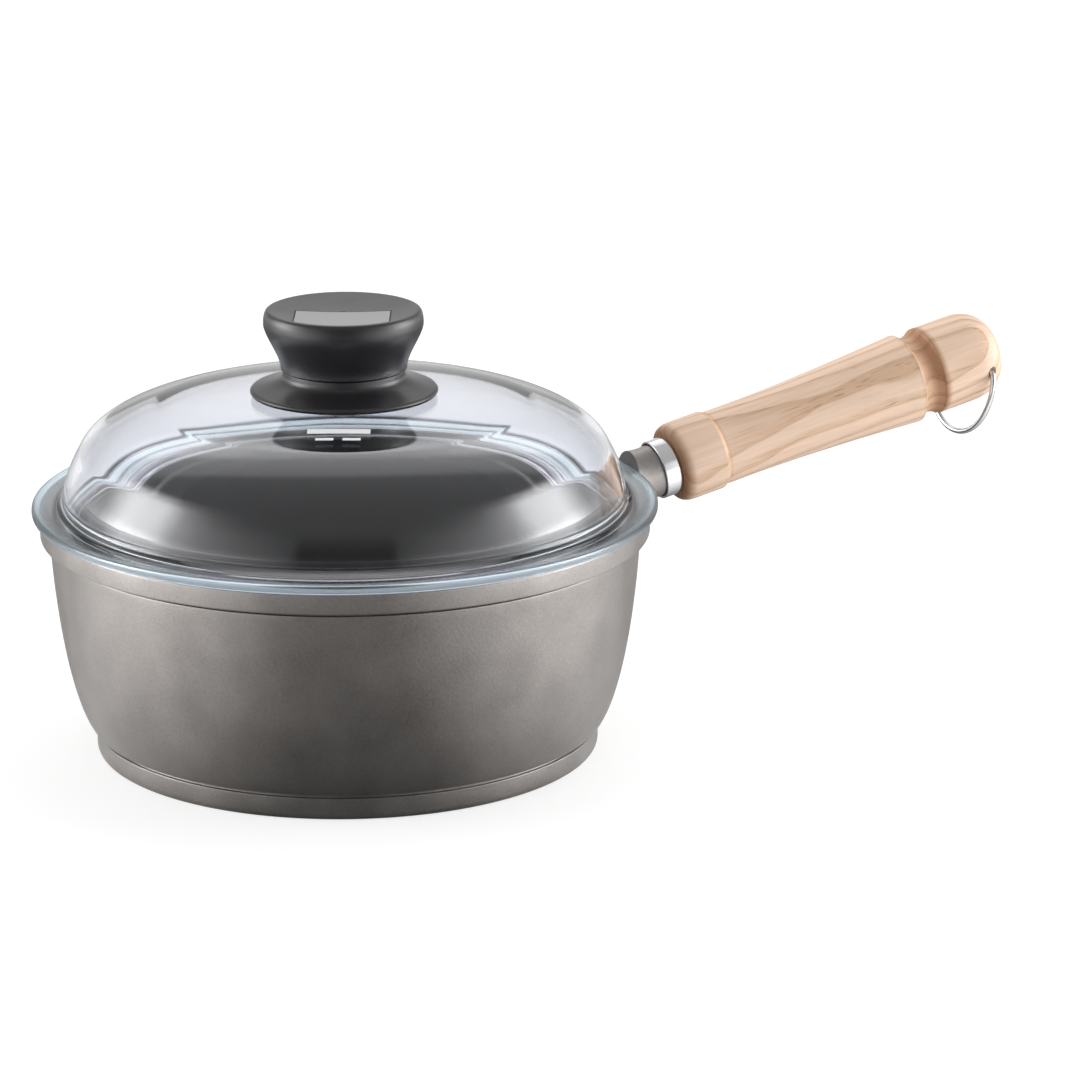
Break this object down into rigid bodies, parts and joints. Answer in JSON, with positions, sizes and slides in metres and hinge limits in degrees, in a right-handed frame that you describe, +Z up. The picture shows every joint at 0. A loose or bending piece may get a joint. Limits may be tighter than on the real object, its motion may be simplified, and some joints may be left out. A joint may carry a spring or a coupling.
{
  "type": "saucepan with glass lid",
  "caption": "Coated cast saucepan with a long wooden handle, a wire hanging ring and a lift-off domed glass lid with a round knob.",
  "frame": {"origin": "centre of the flat underside of the pan, which is the surface that it stands on", "axes": "+Z up along the pan's axis; +X towards the handle's free end; -Y is the side that the hanging ring's near mouth faces"},
  "size_m": [0.361, 0.2142, 0.1534],
  "materials": {
    "pan_coating": "speckled grey-brown non-stick coating on cast aluminium, satin",
    "spring_steel": "dark spring steel",
    "polished_steel": "polished stainless steel",
    "ash_wood": "turned pale ash, clear satin lacquer",
    "plain_steel": "bright plated steel",
    "turned_brass": "turned brass",
    "wire_steel": "bright steel wire",
    "clear_glass": "clear pressed heat-resistant glass, faint blue at the edge",
    "black_phenolic": "black moulded phenolic, satin",
    "badge_satin": "blank satin grey plate",
    "silicone": "dark grey silicone"
  },
  "bodies": {
    "pan": {"pan_body": "pan_coating", "handle_washer": "spring_steel", "ferrule": "polished_steel", "handle_grip": "ash_wood", "handle_stud": "plain_steel", "handle_insert": "turned_brass"},
    "lid": {"lid_glass": "clear_glass", "knob": "black_phenolic", "knob_base": "black_phenolic", "knob_badge": "badge_satin", "knob_insert": "turned_brass", "knob_screw": "plain_steel", "screw_washer": "plain_steel", "spring_washer": "spring_steel", "gasket_upper": "silicone", "gasket_lower": "silicone"},
    "ring": {"hanging_ring": "wire_steel"}
  },
  "joints": [
    {"name": "lid_lift", "type": "slide", "parent": "pan", "child": "lid", "axis": [0, 0, 1], "range_m": [0, 0.15]},
    {"name": "ring_swing", "type": "hinge", "parent": "pan", "child": "ring", "pos_m": [0.24485, 0, 0.11238], "axis": [0.0502, -0.9744, -0.2193], "range_deg": [-27, 252]}
  ]
}
